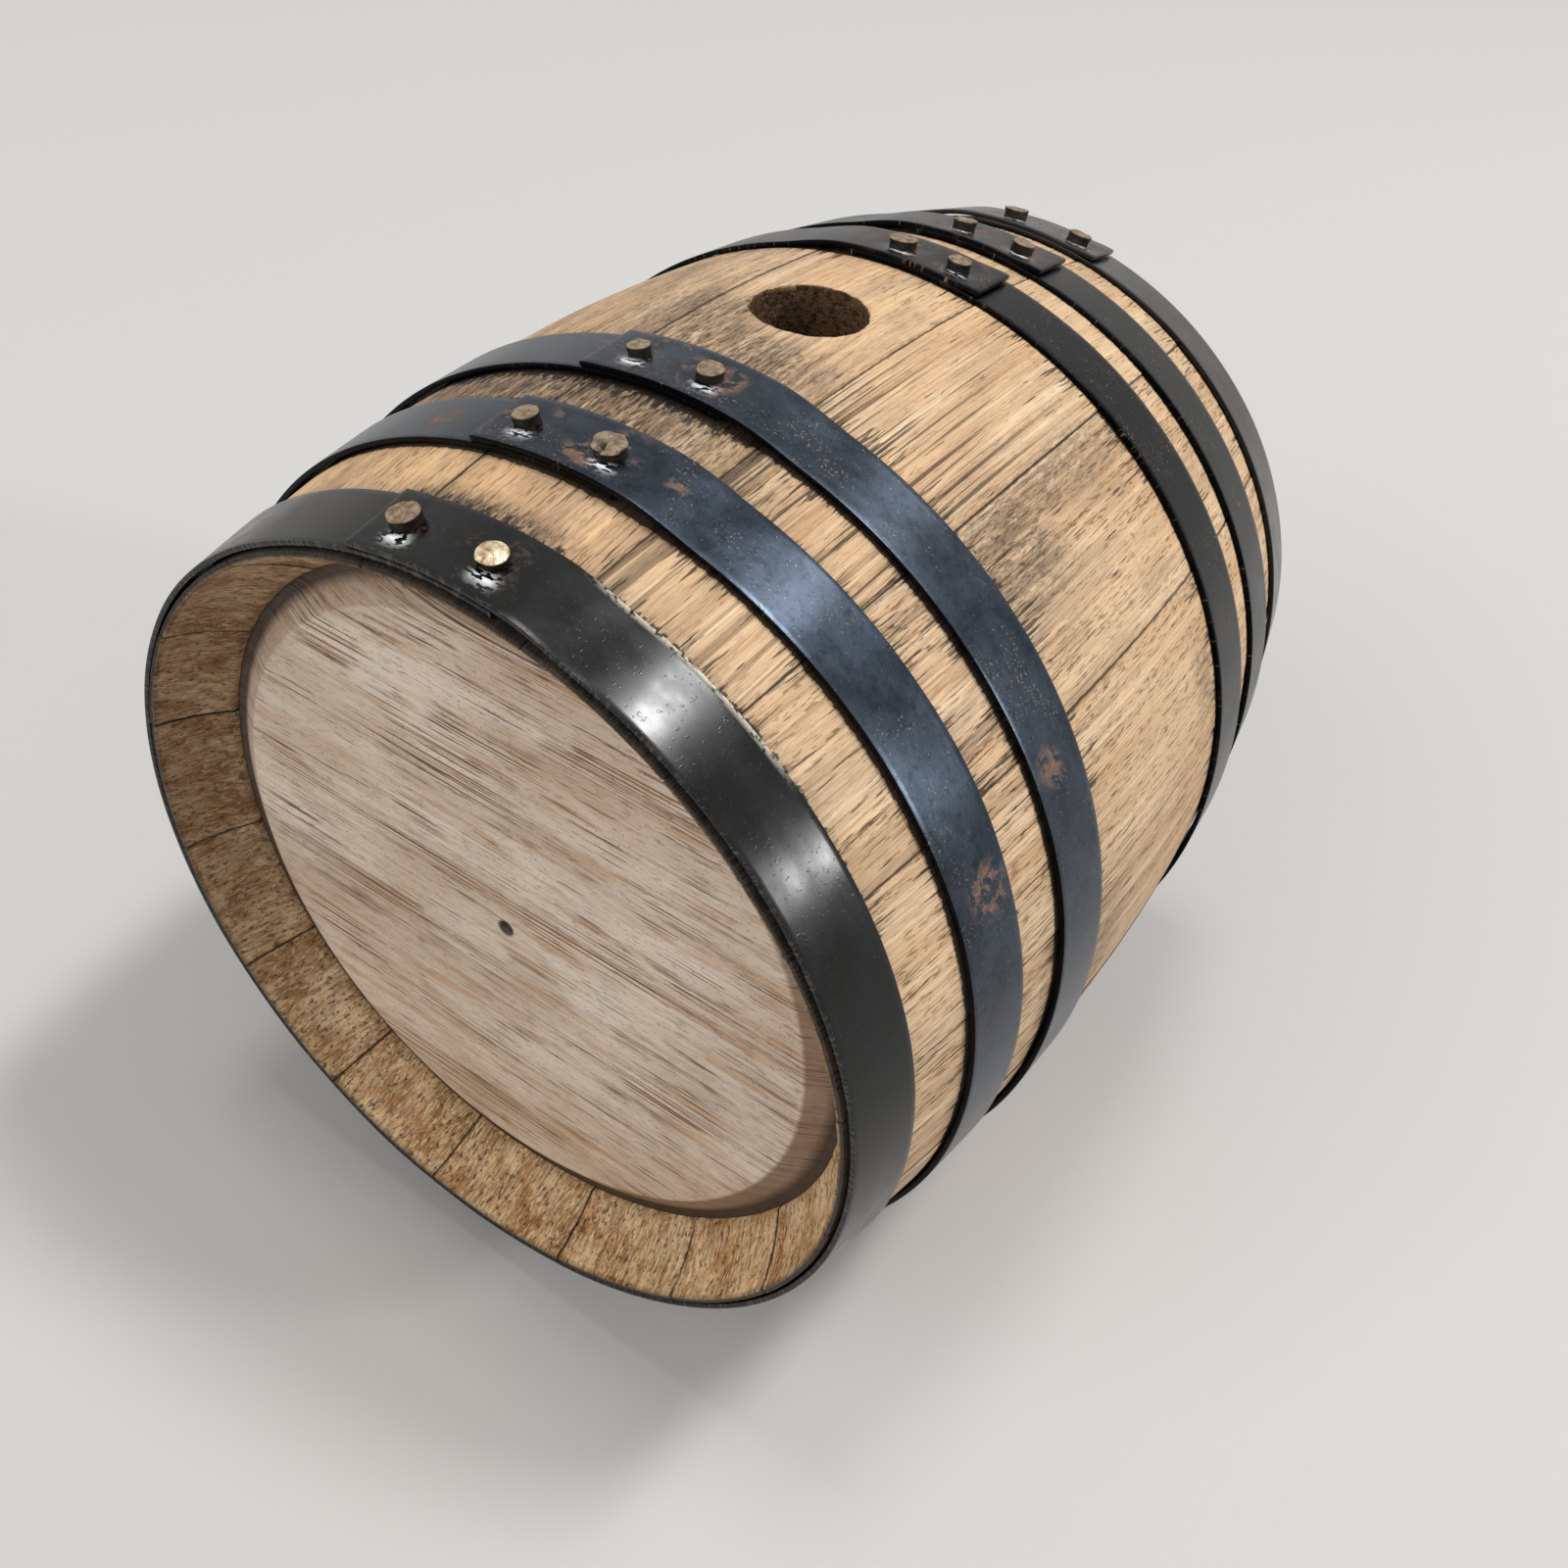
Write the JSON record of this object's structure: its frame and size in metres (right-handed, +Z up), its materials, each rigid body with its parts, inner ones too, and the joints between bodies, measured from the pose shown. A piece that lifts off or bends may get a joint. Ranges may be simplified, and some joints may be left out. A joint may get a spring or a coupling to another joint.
{
  "type": "aging_barrel",
  "caption": "Small oak aging barrel lying on its side: coopered staves, riveted steel hoops, recessed heads, an open bung hole on top and a wooden tap at the far end.",
  "frame": {"origin": "on the floor, under the middle of the barrel's length, where the barrel lies", "axes": "+Y along the barrel's axis towards the head with the tap, +Z up through the bung hole"},
  "size_m": [0.138, 0.1834, 0.1397],
  "materials": {
    "stave_oak": "bare charred-and-toasted oak, sanded, weathered with grey stains",
    "head_oak": "bare oak, sanded, grey-tan with fine brown grain",
    "lacquered_hoop_steel": "glossy black lacquer over steel strip",
    "hoop_steel": "dark blue-grey rolled steel, satin, with rust freckles",
    "rivet_steel": "brown patina",
    "tap_beech": "turned beech, oiled",
    "cork": "fine cork"
  },
  "bodies": {
    "barrel": {"bung_stave": "stave_oak", "stave_02": "stave_oak", "stave_03": "stave_oak", "stave_04": "stave_oak", "stave_05": "stave_oak", "stave_06": "stave_oak", "stave_07": "stave_oak", "stave_08": "stave_oak", "stave_09": "stave_oak", "stave_10": "stave_oak", "stave_11": "stave_oak", "stave_12": "stave_oak", "stave_13": "stave_oak", "stave_14": "stave_oak", "stave_15": "stave_oak", "stave_16": "stave_oak", "plain_head": "head_oak", "tap_head": "head_oak", "plain_end_head_hoop": "lacquered_hoop_steel", "plain_end_quarter_hoop": "hoop_steel", "plain_end_bilge_hoop": "hoop_steel", "tap_end_head_hoop": "lacquered_hoop_steel", "tap_end_quarter_hoop": "hoop_steel", "tap_end_bilge_hoop": "hoop_steel", "plain_end_head_rivets": "rivet_steel", "plain_end_quarter_rivets": "rivet_steel", "plain_end_bilge_rivets": "rivet_steel", "tap_end_head_rivets": "rivet_steel", "tap_end_quarter_rivets": "rivet_steel", "tap_end_bilge_rivets": "rivet_steel", "tap_body": "tap_beech", "tap_cork_lining": "cork"},
    "tap_key": {"tap_key": "tap_beech"}
  },
  "joints": [
    {"name": "tap_key_turn", "type": "hinge", "parent": "barrel", "child": "tap_key", "pos_m": [0, 0.0854, 0.03604], "axis": [0, 0, 1], "range_deg": [0, 90]}
  ]
}
